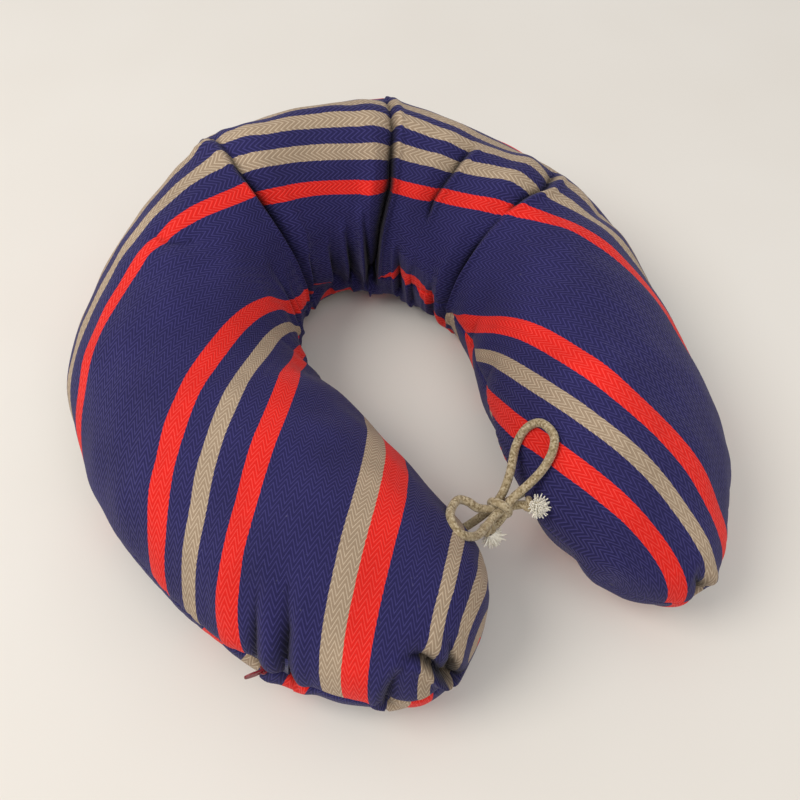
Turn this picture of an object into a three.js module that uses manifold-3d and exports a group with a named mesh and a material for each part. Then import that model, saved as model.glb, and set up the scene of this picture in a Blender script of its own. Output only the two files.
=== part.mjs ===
// A U-shaped neck pillow: a striped two-panel cover with a concealed zip in its outer seam, a stuffed
// inner casing, and a cord sewn into the inner seam near each tip, the two tied in a bow.
// Units are millimetres. +Z is up, the pillow rests on z = 0, and +Y points to the back of the U.
// The origin is the middle of the pillow's box, on the surface that it rests on.
import * as THREE from "three";
import { mergeVertices } from "three/addons/utils/BufferGeometryUtils.js";
import Module from "manifold-3d";

const wasm = await Module();
wasm.setup();

// ---------- driving dimensions ----------
const SEAM_HEIGHT = 40.6; // the outer and inner seams lie in this level plane
const BACK_MIDDLE = new THREE.Vector2(5.6, 139.4); // where the centreline crosses the middle of the back
const ARCH_RADIUS = 114; // centreline of the back
const ARCH_ANGLE = THREE.MathUtils.degToRad(102.5); // how far the back arch turns before each arm starts
const ARCH_LENGTH = ARCH_RADIUS * ARCH_ANGLE;

// Widths and crowns are given at the middle of the back, halfway to the tip and at the tip.
// outerWidths reach from the centreline to the outer seam, and innerWidths to the inner seam.
const LEFT_ARM = {
  side: -1,
  length: 374,
  bendRadius: 545,
  outerWidths: [54.4, 74.6, 74.6],
  innerWidths: [54.4, 73.6, 70],
  crowns: [92, 64.2, 63.5],
  tipPower: { outer: 7.6, inner: 6.5 },
  tipShear: 0.05,
};
const RIGHT_ARM = {
  side: 1,
  length: 394.6,
  bendRadius: 382,
  outerWidths: [54.4, 61.9, 80.8],
  innerWidths: [54.4, 61.9, 80.4],
  crowns: [92, 59.8, 63.6],
  tipPower: { outer: 6.9, inner: 4.4 },
  tipShear: 0.37,
};
const CROWN_POWER = 1.75; // superellipse power of the section above the seam
const BELLY_POWER = 2.8; // and below it
const BELLY_BULGE = 1.08; // the belly is pressed flat where it would bulge below the seam height
const TIP_ROUNDING = 1 / 2.2;
const TIP_HEIGHT_POWER = 0.7; // the crown drops a little later than the width does
const SHEAR_START = 0.45; // share of the arm where the tip's slant begins

// Layers from outside in: how far each face stands in from the cover's outer face.
const COVER_THICKNESS = 1.2;
const CASING_THICKNESS = 0.8;
// The casing leaves room for the zip and the seam allowances.
const CASING_ROOM = { outer: 9.4, inner: 4.6, end: 9, height: 2.8 };
const FILLING_GAP = 0.5;
const PANEL_GAP = 0.3; // between two sewn panels

const COVER_STATIONS = 52;
const INSIDE_STATIONS = 26;
const FACETS = 8; // across each panel

// The concealed zip lies along a true arc of the left arm's outer seam.
const ZIP_CENTRE = new THREE.Vector2(72.1, 20.4);
const ZIP_RADIUS = 250.7;
const ZIP_ARC_RANGE = { from: 136, to: 308, ease: 30 }; // centreline lengths where the seam is that arc
const ZIP_SLIT_RANGE = { from: 136, to: 314, ease: 8 };
const ZIP_SLIT = 1.8;
const ZIP_CLOSED_ANGLE = 211.9; // degrees about the zip's centre, where the slider stands when closed
const ZIP_TRAVEL = 42.9; // degrees that the slider runs towards the back to open the zip
const TAPE_OVERRUN = 2.7;
const COIL_OVERRUN = 1.3;
const STOP_LENGTH = 0.6;
const STOP_GAP = 0.1;
const ZIP_STEPS = 24;

// The slider is a C-shaped channel round both coils. Distances out of the seam are below 0 inside it.
const SLIDER = {
  length: 8,
  back: -8,
  front: -3.9,
  halfHeight: 3.9,
  wallInside: 2.9,
  lipInside: 1.6,
  sheet: 0.8,
};
const SLIDER_NECK = { thickness: 0.8, halfLength: 2.6, inside: -7.6, shortOfAxis: 0.4 };
const PULL_AXIS_OUT = 2.0; // the pull's hinge stands this far out of the seam
const NECK_EYE = { outer: 1.9, hole: 1.0 };
const PULL = { length: 10, thickness: 1.0, rootHalf: 1.6, bellyHalf: 2.4, bellyAt: 4.6, barRadius: 0.6 };
const PULL_BAR_LENGTH = 3;
const PULL_SLOT = { from: -1.4, to: 3.4, half: 0.8 };
const PULL_REST_ANGLE = 42; // degrees from straight out, turned towards the back

// The tie cords and their bow.
const CORD_DIAMETER = 4.8;
const CORD_SIDES = 8;
const CORD_STEP = 6.5;
const BOW_KNOT = { centre: [3.9, -104.4, 52.5], radii: [6.8, 6.6, 7.4] };
const STOPPER = { radii: [4.5, 4.5, 4.5] };
const TUFT = { root: 2.2, flare: 4.6, length: 8 };

// Seam thread, hidden just inside the cover.
const THREAD_RADIUS = 0.45;
const THREAD_ROOM = { outer: 3.2, inner: 2.6, end: 3.4, height: 0 };
const THREAD_STEPS = 110;

// ---------- colours ----------
const NAVY = 0x2f2c66;
const BEIGE = 0xa49477;
const WHITE = 0xf2efe6;
const BURGUNDY = 0x6d1522;

function cloth(colour, roughness = 0.9) {
  return new THREE.MeshStandardMaterial({ color: colour, roughness, metalness: 0 });
}
const materials = {
  cover: cloth(NAVY),
  casing: cloth(WHITE),
  filling: cloth(0xe9e6df, 1),
  thread: cloth(NAVY),
  tape: cloth(NAVY),
  coil: new THREE.MeshStandardMaterial({ color: NAVY, roughness: 0.4, metalness: 0 }),
  zipMetal: new THREE.MeshStandardMaterial({ color: BURGUNDY, roughness: 0.35, metalness: 0.2 }),
  cord: cloth(BEIGE),
  tuft: cloth(WHITE),
};

const pillow = new THREE.Group();

function addPiece(name, geometry, material) {
  const mesh = new THREE.Mesh(geometry, material);
  mesh.name = name;
  pillow.add(mesh);
  return mesh;
}

// ---------- the shape of the pillow ----------
const CROWN = "crown";
const BELLY = "belly";

function smoothStep(value) {
  const t = THREE.MathUtils.clamp(value, 0, 1);
  return t * t * (3 - 2 * t);
}

function signedPower(value, power) {
  return Math.sign(value) * Math.abs(value) ** power;
}

// A value given at the back, halfway and at the tip, eased between them.
function alongArm([back, middle, tip], share) {
  if (share < 0.5) return back + (middle - back) * smoothStep(share * 2);
  return middle + (tip - middle) * smoothStep(share * 2 - 1);
}

// 1 inside the range, easing to 0 past both of its ends.
function insideRange(range, value) {
  const rise = smoothStep((value - range.from + range.ease) / range.ease);
  const fall = smoothStep((range.to + range.ease - value) / range.ease);
  return rise * fall;
}

// The centreline: the back's arc, then the arm's flatter arc.
function centreline(arm, distance) {
  const onArch = Math.min(distance, ARCH_LENGTH) / ARCH_RADIUS;
  const angle = onArch + Math.max(distance - ARCH_LENGTH, 0) / arm.bendRadius;
  const bend = arm.bendRadius;
  const across = ARCH_RADIUS * Math.sin(onArch) + bend * (Math.sin(angle) - Math.sin(onArch));
  const forward = ARCH_RADIUS * (Math.cos(onArch) - 1) + bend * (Math.cos(angle) - Math.cos(onArch));
  return {
    point: new THREE.Vector2(BACK_MIDDLE.x + arm.side * across, BACK_MIDDLE.y + forward),
    tangent: new THREE.Vector2(arm.side * Math.cos(angle), -Math.sin(angle)),
    outward: new THREE.Vector2(arm.side * Math.sin(angle), Math.cos(angle)),
  };
}

// How far the zip's arc lies out from the centreline, along the section's own direction.
function reachToZipArc(point, direction) {
  const offset = point.clone().sub(ZIP_CENTRE);
  const along = offset.dot(direction);
  const square = direction.lengthSq();
  const rest = offset.lengthSq() - ZIP_RADIUS ** 2;
  return (Math.sqrt(along ** 2 - square * rest) - along) / square;
}

// A point on the pillow. share runs from 0 at the back to 1 at the tip, face is CROWN or BELLY, and
// angle goes over that face: 0 at the outer seam, a quarter turn in its middle, half a turn at the
// inner seam. room says how far the surface stands in from the cover's outer face.
function surfacePoint(arm, share, face, angle, room) {
  const distance = share * (arm.length - room.end);
  const line = centreline(arm, distance);
  const outerTip = Math.max(1 - share ** arm.tipPower.outer, 0) ** TIP_ROUNDING;
  const innerTip = Math.max(1 - share ** arm.tipPower.inner, 0) ** TIP_ROUNDING;
  const shear = arm.tipShear * smoothStep((share - SHEAR_START) / (1 - SHEAR_START));
  const direction = line.outward.clone().addScaledVector(line.tangent, shear);
  const isCrown = face === CROWN;
  const power = 2 / (isCrown ? CROWN_POWER : BELLY_POWER);
  const acrossShare = signedPower(Math.cos(angle), power);
  const upShare = Math.abs(Math.sin(angle)) ** power;
  const isOuter = acrossShare > 0;

  const fullWidth = alongArm(isOuter ? arm.outerWidths : arm.innerWidths, share);
  let halfWidth = (fullWidth - (isOuter ? room.outer : room.inner)) * (isOuter ? outerTip : innerTip);
  let gap = PANEL_GAP;
  if (arm === LEFT_ARM && isOuter) {
    const toArc = reachToZipArc(line.point, direction) - room.outer;
    halfWidth += (toArc - halfWidth) * insideRange(ZIP_ARC_RANGE, distance);
    gap += (ZIP_SLIT - gap) * insideRange(ZIP_SLIT_RANGE, distance);
  }
  const tipHeight = Math.sqrt(outerTip * innerTip) ** TIP_HEIGHT_POWER;
  const crown = (alongArm(arm.crowns, share) - room.height) * tipHeight;
  const belly = (SEAM_HEIGHT - room.height) * tipHeight;
  const rise = isCrown ? crown * upShare : -Math.min(belly * BELLY_BULGE * upShare, belly);
  const plan = line.point.addScaledVector(direction, halfWidth * acrossShare);
  const seamGap = (isCrown ? 0.5 : -0.5) * gap * (1 - upShare);
  return new THREE.Vector3(plan.x, plan.y, SEAM_HEIGHT + seamGap + rise);
}

// Stations run from the left tip, -1, over the back, 0, to the right tip, 1, and crowd towards the tips.
function stationPoint(station, face, angle, room) {
  const arm = station < 0 ? LEFT_ARM : RIGHT_ARM;
  const even = Math.abs(station);
  return surfacePoint(arm, even * (1.5 - 0.5 * even ** 2), face, angle, room);
}

// ---------- building closed bodies ----------
function closedGeometry(points, triangles) {
  const positions = points.flatMap((point) => point.toArray());
  let volume = 0;
  for (const [a, b, c] of triangles) {
    volume += points[a].dot(new THREE.Vector3().crossVectors(points[b], points[c]));
  }
  const outward = volume > 0 ? triangles : triangles.map(([a, b, c]) => [a, c, b]);
  const geometry = new THREE.BufferGeometry();
  geometry.setAttribute("position", new THREE.Float32BufferAttribute(positions, 3));
  geometry.setIndex(outward.flat());
  geometry.computeVertexNormals();
  return geometry;
}

// A grid of points over one face from seam to seam, closing to one point at each tip.
function surfaceGrid(points, stations, facets, face, room) {
  const rows = [];
  for (let i = 0; i <= stations; i++) {
    const station = (2 * i) / stations - 1;
    const isTip = i === 0 || i === stations;
    const row = [];
    for (let j = 0; j <= facets; j++) {
      if (isTip && j > 0) {
        row.push(row[0]);
        continue;
      }
      row.push(points.length);
      points.push(stationPoint(station, face, (Math.PI * j) / facets, room));
    }
    rows.push(row);
  }
  return rows;
}

function addQuad(triangles, a, b, c, d) {
  for (const triangle of [[a, b, c], [a, c, d]]) {
    if (new Set(triangle).size === 3) triangles.push(triangle);
  }
}

function addSheet(triangles, rows, isFlipped) {
  for (let i = 0; i + 1 < rows.length; i++) {
    for (let j = 0; j + 1 < rows[i].length; j++) {
      const [a, b, c, d] = [rows[i][j], rows[i + 1][j], rows[i + 1][j + 1], rows[i][j + 1]];
      if (isFlipped) addQuad(triangles, a, d, c, b);
      else addQuad(triangles, a, b, c, d);
    }
  }
}

function thickerRoom(room, thickness) {
  return {
    outer: room.outer + thickness,
    inner: room.inner + thickness,
    end: room.end + thickness,
    height: room.height + thickness,
  };
}

// One cloth panel with a real thickness, from seam to seam.
function panel(stations, facets, face, room, thickness) {
  const points = [];
  const triangles = [];
  const outside = surfaceGrid(points, stations, facets, face, room);
  const inside = surfaceGrid(points, stations, facets, face, thickerRoom(room, thickness));
  addSheet(triangles, outside, false);
  addSheet(triangles, inside, true);
  for (const [edge, isFlipped] of [[0, false], [facets, true]]) {
    const strip = outside.map((row, i) => [inside[i][edge], row[edge]]);
    addSheet(triangles, strip, isFlipped);
  }
  return closedGeometry(points, triangles);
}

// The stuffing: one solid that closes on itself all round the section.
function stuffing(stations, facets, room) {
  const points = [];
  const triangles = [];
  const crown = surfaceGrid(points, stations, facets, CROWN, room);
  const belly = surfaceGrid(points, stations, facets, BELLY, room);
  addSheet(triangles, crown, false);
  addSheet(triangles, belly, true);
  for (const [edge, isFlipped] of [[0, true], [facets, false]]) {
    const strip = crown.map((row, i) => [row[edge], belly[i][edge]]);
    addSheet(triangles, strip, isFlipped);
  }
  return closedGeometry(points, triangles);
}

const OUTSIDE = { outer: 0, inner: 0, end: 0, height: 0 };
const FILLING_ROOM = thickerRoom(CASING_ROOM, CASING_THICKNESS + FILLING_GAP);
for (const [place, face] of [["top", CROWN], ["bottom", BELLY]]) {
  const cover = panel(COVER_STATIONS, FACETS, face, OUTSIDE, COVER_THICKNESS);
  addPiece(`cover_${place}_panel`, cover, materials.cover);
  const casing = panel(INSIDE_STATIONS, FACETS, face, CASING_ROOM, CASING_THICKNESS);
  addPiece(`casing_${place}_panel`, casing, materials.casing);
}
addPiece("filling", stuffing(INSIDE_STATIONS, FACETS, FILLING_ROOM), materials.filling);

// ---------- seam thread ----------
function tube(path, radius, sides, steps) {
  const section = new THREE.Shape();
  for (let i = 0; i < sides; i++) {
    const turn = (2 * Math.PI * i) / sides;
    const corner = [radius * Math.cos(turn), radius * Math.sin(turn)];
    if (i === 0) section.moveTo(...corner);
    else section.lineTo(...corner);
  }
  section.closePath();
  return new THREE.ExtrudeGeometry(section, { steps, extrudePath: path });
}

// The thread runs from the back end of the zip round the whole outline to the zip's closed end.
function threadLine() {
  const points = [];
  const zipFrom = (ZIP_SLIT_RANGE.from - 4) / LEFT_ARM.length;
  const zipTo = (ZIP_SLIT_RANGE.to + 4) / LEFT_ARM.length;
  const runs = [
    [LEFT_ARM, 0, zipFrom, 0],
    [RIGHT_ARM, 0, 0, 1],
    [RIGHT_ARM, Math.PI, 1, 0],
    [LEFT_ARM, Math.PI, 0, 1],
    [LEFT_ARM, 0, 1, zipTo],
  ];
  const samples = 30;
  for (const [arm, angle, from, to] of runs) {
    for (let i = points.length ? 1 : 0; i <= samples; i++) {
      const even = i / samples;
      const share = from + (to - from) * smoothStep(even);
      const point = surfacePoint(arm, share, CROWN, angle, THREAD_ROOM);
      points.push(point.setZ(SEAM_HEIGHT));
    }
  }
  return new THREE.CatmullRomCurve3(points);
}
addPiece("cover_seam_thread", tube(threadLine(), THREAD_RADIUS, 5, THREAD_STEPS), materials.thread);

// ---------- zip ----------
// An arc of the zip from one angle to a smaller one, so that a section's y points out of the seam.
class ZipArc extends THREE.Curve {
  constructor(fromDegrees, toDegrees) {
    super();
    this.from = THREE.MathUtils.degToRad(fromDegrees);
    this.to = THREE.MathUtils.degToRad(toDegrees);
  }

  getPoint(t, target = new THREE.Vector3()) {
    const angle = this.from + (this.to - this.from) * t;
    const x = ZIP_CENTRE.x + ZIP_RADIUS * Math.cos(angle);
    const y = ZIP_CENTRE.y + ZIP_RADIUS * Math.sin(angle);
    return target.set(x, y, SEAM_HEIGHT);
  }
}

// Sweeps a section along the zip. Its points are [height over the seam, distance out of the seam].
function alongZip(section, fromDegrees, toDegrees, steps) {
  const outline = section.map(([up, out]) => new THREE.Vector2(-up, out));
  const extrudePath = new ZipArc(fromDegrees, toDegrees);
  return new THREE.ExtrudeGeometry(new THREE.Shape(outline), { steps, extrudePath });
}

const ZIP_OPEN_ANGLE = ZIP_CLOSED_ANGLE - ZIP_TRAVEL;
const TAPE_SECTION = [
  [0.75, -5.0],
  [0.75, -1.7],
  [7, -3.6],
  [11.5, -5.2],
  [11.5, -5.8],
  [7, -4.2],
  [1.25, -2.35],
  [1.25, -5.0],
];
const COIL_SECTION = [
  [0.75, -5.9],
  [1.1, -5.3],
  [2.1, -5.3],
  [2.55, -6.0],
  [2.1, -6.8],
  [1.1, -6.8],
];
const STOP_SECTION = [
  [-2.5, -7],
  [-2.5, -5.2],
  [2.5, -5.2],
  [2.5, -7],
];

function mirrored(section, sign) {
  return section.map(([up, out]) => [up * sign, out]);
}

for (const [place, sign] of [["upper", 1], ["lower", -1]]) {
  const tape = alongZip(
    mirrored(TAPE_SECTION, sign),
    ZIP_CLOSED_ANGLE + TAPE_OVERRUN,
    ZIP_OPEN_ANGLE - TAPE_OVERRUN,
    ZIP_STEPS,
  );
  addPiece(`zip_tape_${place}`, tape, materials.tape);
  const coil = alongZip(
    mirrored(COIL_SECTION, sign),
    ZIP_CLOSED_ANGLE + COIL_OVERRUN,
    ZIP_OPEN_ANGLE - COIL_OVERRUN,
    ZIP_STEPS,
  );
  addPiece(`zip_coil_${place}`, coil, materials.coil);
}
const stops = [
  ["closed", ZIP_CLOSED_ANGLE + COIL_OVERRUN + STOP_GAP + STOP_LENGTH],
  ["open", ZIP_OPEN_ANGLE - COIL_OVERRUN - STOP_GAP],
];
for (const [end, angle] of stops) {
  addPiece(`zip_stop_${end}_end`, alongZip(STOP_SECTION, angle, angle - STOP_LENGTH, 1), materials.coil);
}

// ---------- slider and pull ----------
function solid(geometry) {
  const bare = geometry.clone();
  bare.deleteAttribute("normal");
  bare.deleteAttribute("uv");
  const merged = mergeVertices(bare, 1e-4);
  const triVerts = new Uint32Array(merged.index.array);
  const vertProperties = new Float32Array(merged.attributes.position.array);
  return new wasm.Manifold(new wasm.Mesh({ numProp: 3, vertProperties, triVerts }));
}

function geometryOf(made) {
  const mesh = made.getMesh();
  const geometry = new THREE.BufferGeometry();
  geometry.setAttribute("position", new THREE.BufferAttribute(new Float32Array(mesh.vertProperties), 3));
  geometry.setIndex(new THREE.BufferAttribute(new Uint32Array(mesh.triVerts), 1));
  geometry.computeVertexNormals();
  return geometry;
}

function box(low, high) {
  const size = high.map((value, i) => value - low[i]);
  const geometry = new THREE.BoxGeometry(...size);
  geometry.translate(...low.map((value, i) => value + size[i] / 2));
  return geometry;
}

// Local axes of the zip's moving pieces: x out of the seam, y along the zip, z up.
function placeOnZip(mesh) {
  const angle = THREE.MathUtils.degToRad(ZIP_CLOSED_ANGLE);
  mesh.rotation.z = angle;
  mesh.position.set(
    ZIP_CENTRE.x + ZIP_RADIUS * Math.cos(angle),
    ZIP_CENTRE.y + ZIP_RADIUS * Math.sin(angle),
    SEAM_HEIGHT,
  );
}

function sliderGeometry() {
  const { length, back, wallInside, halfHeight, front, sheet, lipInside } = SLIDER;
  const half = length / 2;
  let body = solid(box([back, -half, -halfHeight], [back + sheet, half, halfHeight]));
  for (const sign of [-1, 1]) {
    const wall = [wallInside * sign, halfHeight * sign].sort((a, b) => a - b);
    const lip = [lipInside * sign, halfHeight * sign].sort((a, b) => a - b);
    body = body.add(solid(box([back, -half, wall[0]], [front, half, wall[1]])));
    body = body.add(solid(box([front - sheet, -half, lip[0]], [front, half, lip[1]])));
  }
  const { thickness, halfLength, inside, shortOfAxis } = SLIDER_NECK;
  const neckEnd = PULL_AXIS_OUT - shortOfAxis;
  const neck = box([inside, -halfLength, -thickness / 2], [neckEnd, halfLength, thickness / 2]);
  const eye = new THREE.CylinderGeometry(NECK_EYE.outer, NECK_EYE.outer, thickness, 20);
  eye.rotateX(Math.PI / 2).translate(PULL_AXIS_OUT, 0, 0);
  const hole = new THREE.CylinderGeometry(NECK_EYE.hole, NECK_EYE.hole, thickness * 2, 16);
  hole.rotateX(Math.PI / 2).translate(PULL_AXIS_OUT, 0, 0);
  const blade = solid(neck).add(solid(eye)).subtract(solid(hole));
  return geometryOf(body.add(blade));
}

// The teardrop pull lies along +x from its root bar, which passes through the slider's eye.
function pullGeometry() {
  const { length, thickness, rootHalf, bellyHalf, bellyAt, barRadius } = PULL;
  const outline = new THREE.Shape();
  outline.moveTo(-barRadius, -rootHalf);
  outline.lineTo(bellyAt, -bellyHalf);
  outline.quadraticCurveTo(length, -bellyHalf, length, 0);
  outline.quadraticCurveTo(length, bellyHalf, bellyAt, bellyHalf);
  outline.lineTo(-barRadius, rootHalf);
  outline.closePath();
  const extrusion = { depth: thickness, bevelEnabled: false, curveSegments: 8 };
  const plate = new THREE.ExtrudeGeometry(outline, extrusion);
  plate.translate(0, 0, -thickness / 2).rotateX(Math.PI / 2);
  const { from, to, half } = PULL_SLOT;
  const slot = box([from, -thickness, -half], [to, thickness, half]);
  const bar = new THREE.CylinderGeometry(barRadius, barRadius, PULL_BAR_LENGTH, 12);
  bar.rotateX(Math.PI / 2);
  return geometryOf(solid(plate).subtract(solid(slot)).add(solid(bar)));
}

const slider = addPiece("zip_slider", sliderGeometry(), materials.zipMetal);
placeOnZip(slider);

const pull = addPiece("zip_pull_tab", pullGeometry(), materials.zipMetal);
pull.rotation.z = -THREE.MathUtils.degToRad(PULL_REST_ANGLE);
pull.position.x = PULL_AXIS_OUT;
const pullHolder = new THREE.Group();
pullHolder.add(pull);
placeOnZip(pullHolder);
pillow.add(pullHolder);

// ---------- tie cords ----------
// Each cord is sewn into the inner seam, runs up into the bow, forms a loop that rests on its arm's
// shoulder, and ends in a stopper knot.
const CORD_ROUTES = {
  tie_cord_left_lead: [
    [-16.3, -100.4, 40.6],
    [-12.3, -100.8, 41.4],
    [-3.2, -102.4, 47.6],
  ],
  tie_cord_left_loop: [
    [-3.6, -103.6, 56.6],
    [-9, -102.1, 60.8],
    [-12.5, -98.1, 64.8],
    [-17.3, -95.4, 67.6],
    [-24.8, -99.9, 72],
    [-28.5, -107.9, 76.5],
    [-27.3, -114.8, 74.6],
    [-19.6, -115.9, 66.9],
    [-10, -112.4, 60.8],
    [-2.1, -109.1, 57.5],
  ],
  tie_cord_left_tail: [
    [10.6, -108.2, 53.2],
    [13.2, -109.6, 54],
  ],
  tie_cord_right_lead: [
    [23.7, -99.8, 40.6],
    [19.4, -100.2, 41.5],
    [11.4, -102.6, 48],
  ],
  tie_cord_right_loop: [
    [9.7, -101.6, 58],
    [17.8, -93.8, 61.5],
    [28.2, -83.3, 64.3],
    [35.8, -80.7, 72.3],
    [41.1, -85, 79.5],
    [41.4, -95.3, 82.1],
    [36.8, -101.7, 79],
    [29.9, -104.8, 71.6],
    [21, -106, 65.1],
    [8.9, -106.9, 59.5],
  ],
  tie_cord_right_tail: [
    [-1.1, -111, 48.6],
    [-3, -111.6, 49.2],
  ],
};
const STOPPER_CENTRES = { left: [17.4, -112.6, 55.6], right: [-7.2, -113.2, 51] };
const TUFT_DIRECTIONS = { left: [1.6, -6.4, 6], right: [2.2, -3.4, -9] };

for (const [name, route] of Object.entries(CORD_ROUTES)) {
  const path = new THREE.CatmullRomCurve3(route.map((point) => new THREE.Vector3(...point)));
  const steps = Math.max(2, Math.round(path.getLength() / CORD_STEP));
  addPiece(name, tube(path, CORD_DIAMETER / 2, CORD_SIDES, steps), materials.cord);
}

function ellipsoid(centre, radii, around, down) {
  const geometry = new THREE.SphereGeometry(1, around, down);
  geometry.scale(...radii).translate(...centre);
  return geometry;
}
addPiece("bow_knot", ellipsoid(BOW_KNOT.centre, BOW_KNOT.radii, 14, 10), materials.cord);

function tuftGeometry(start, direction) {
  const profile = [
    [0, 0],
    [TUFT.root, 0],
    [TUFT.flare, TUFT.length * 0.75],
    [TUFT.flare * 0.6, TUFT.length],
    [0, TUFT.length],
  ];
  const geometry = new THREE.LatheGeometry(profile.map(([r, h]) => new THREE.Vector2(r, h)), 10);
  const turn = new THREE.Quaternion().setFromUnitVectors(new THREE.Vector3(0, 1, 0), direction);
  return geometry.applyQuaternion(turn).translate(...start.toArray());
}

for (const [side, centre] of Object.entries(STOPPER_CENTRES)) {
  addPiece(`stopper_knot_${side}`, ellipsoid(centre, STOPPER.radii, 12, 8), materials.cord);
  const direction = new THREE.Vector3(...TUFT_DIRECTIONS[side]).normalize();
  const start = new THREE.Vector3(...centre).addScaledVector(direction, STOPPER.radii[0] + PANEL_GAP);
  addPiece(`frayed_end_${side}`, tuftGeometry(start, direction), materials.tuft);
}

export default pillow;
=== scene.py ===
"""Looks of a U-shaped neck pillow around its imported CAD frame: a striped herringbone cover in two panels
with folds at the back, gathers at the inner seam and puckers at the tips, a concealed zip, a stuffed casing
inside, and two braided tie cords in a bow. Lengths are in metres where no comment says millimetres."""
import math
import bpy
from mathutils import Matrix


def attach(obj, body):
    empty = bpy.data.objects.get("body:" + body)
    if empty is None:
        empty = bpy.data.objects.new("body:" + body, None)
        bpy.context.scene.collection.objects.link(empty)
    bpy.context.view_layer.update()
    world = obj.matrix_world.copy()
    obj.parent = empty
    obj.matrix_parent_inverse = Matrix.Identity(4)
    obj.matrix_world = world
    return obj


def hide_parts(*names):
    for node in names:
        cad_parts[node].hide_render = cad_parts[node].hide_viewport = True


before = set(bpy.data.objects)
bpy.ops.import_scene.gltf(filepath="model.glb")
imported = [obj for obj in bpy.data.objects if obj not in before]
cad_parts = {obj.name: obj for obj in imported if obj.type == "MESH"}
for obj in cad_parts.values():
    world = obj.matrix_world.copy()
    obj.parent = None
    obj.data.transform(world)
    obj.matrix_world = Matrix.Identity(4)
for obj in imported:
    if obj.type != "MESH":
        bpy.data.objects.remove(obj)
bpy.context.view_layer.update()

from types import SimpleNamespace

import bpy
import numpy as np
from mathutils import Matrix, Vector

MM = 0.001
MATERIALS = {}  # by slot, filled before any piece is made
rng = np.random.default_rng(11)  # for the frayed ends


def add_object(name, data):
    thing = bpy.data.objects.new(name, data)
    bpy.context.scene.collection.objects.link(thing)
    return thing


# ---------- camera ----------
CAMERA_PLACE = (-0.1458, -0.2567, 0.4833)
CAMERA_RIGHT = (0.85523, -0.51817, -0.00899)
CAMERA_UP = (0.44056, 0.71778, 0.53917)
CAMERA_BACK = (-0.27293, -0.46507, 0.84215)
LENS, SENSOR = 40.0, 36.0  # millimetres


def make_camera():
    data = bpy.data.cameras.new("camera")
    data.lens = LENS
    data.sensor_width = SENSOR
    camera = add_object("camera", data)
    axes = Matrix((CAMERA_RIGHT, CAMERA_UP, CAMERA_BACK)).transposed().to_4x4()
    camera.matrix_world = Matrix.Translation(CAMERA_PLACE) @ axes
    bpy.context.scene.camera = camera


# ---------- meshes ----------
def smooth_step(value):
    t = np.clip(value, 0.0, 1.0)
    return t * t * (3 - 2 * t)


def bell(value, middle, width):
    return np.exp(-((value - middle) / width) ** 2)


def running_sum(steps):
    return np.concatenate([[0], np.cumsum(steps)])


def unit(vectors):
    length = np.linalg.norm(vectors, axis=-1, keepdims=True)
    return vectors / np.maximum(length, 1e-12)


def make_mesh(name, points, faces, slot, stands_for, **attributes):
    """A piece of the pillow's body from points and faces, with named vectors for each point."""
    mesh = bpy.data.meshes.new(name)
    mesh.from_pydata(points.reshape(-1, 3).tolist(), [], [list(map(int, f)) for f in faces])
    for key, values in attributes.items():
        layer = mesh.attributes.new(key, "FLOAT_VECTOR", "POINT")
        layer.data.foreach_set("vector", np.asarray(values, np.float32).ravel())
    mesh.shade_smooth()
    mesh.materials.append(MATERIALS[slot])
    piece = add_object(name, mesh)
    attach(piece, "pillow")
    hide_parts(*stands_for)
    return piece


def grid_faces(index, flip):
    """Quads over a grid of point numbers, or triangles where two corners are one point."""
    a, b, c, d = index[:-1, :-1], index[1:, :-1], index[1:, 1:], index[:-1, 1:]
    quads = np.stack([a, d, c, b] if flip else [a, b, c, d], -1).reshape(-1, 4)
    faces = []
    for quad in quads:
        corners = list(dict.fromkeys(quad.tolist()))
        if len(corners) > 2:
            faces.append(corners)
    return faces


def frames_along(path):
    """Two unit normals at each point of a path, turning as little as possible."""
    tangent = unit(np.gradient(path, axis=0))
    first = np.cross(tangent[0], (0.0, 0.0, 1.0))
    if np.linalg.norm(first) < 0.1:
        first = np.cross(tangent[0], (1.0, 0.0, 0.0))
    side = np.empty_like(path)
    side[0] = unit(first)
    for i in range(1, len(path)):
        side[i] = unit(side[i - 1] - tangent[i] * (side[i - 1] @ tangent[i]))
    return side, np.cross(tangent, side)


def tube_points(path, radii, around):
    """Rings round a path. radii is one number, one for each ring, or a grid of ring by corner."""
    side, up = frames_along(path)
    turn = 2 * math.pi * np.arange(around) / around
    radii = np.broadcast_to(np.asarray(radii, float).reshape(-1, 1) if np.ndim(radii) < 2 else radii,
                            (len(path), around))
    spoke = side[:, None] * np.cos(turn)[None, :, None] + up[:, None] * np.sin(turn)[None, :, None]
    return path[:, None] + spoke * radii[:, :, None]


def tube_faces(rings, around, start=0):
    """Quads between rings, and a flat cap at each end."""
    index = start + np.arange(rings * around).reshape(rings, around)
    faces = grid_faces(np.hstack([index, index[:, :1]]), flip=True)
    return faces + [index[0].tolist(), index[-1][::-1].tolist()]


def reach_along(path):
    """Distance along a path at each of its points."""
    return running_sum(np.linalg.norm(np.diff(path, axis=0), axis=1))


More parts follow.
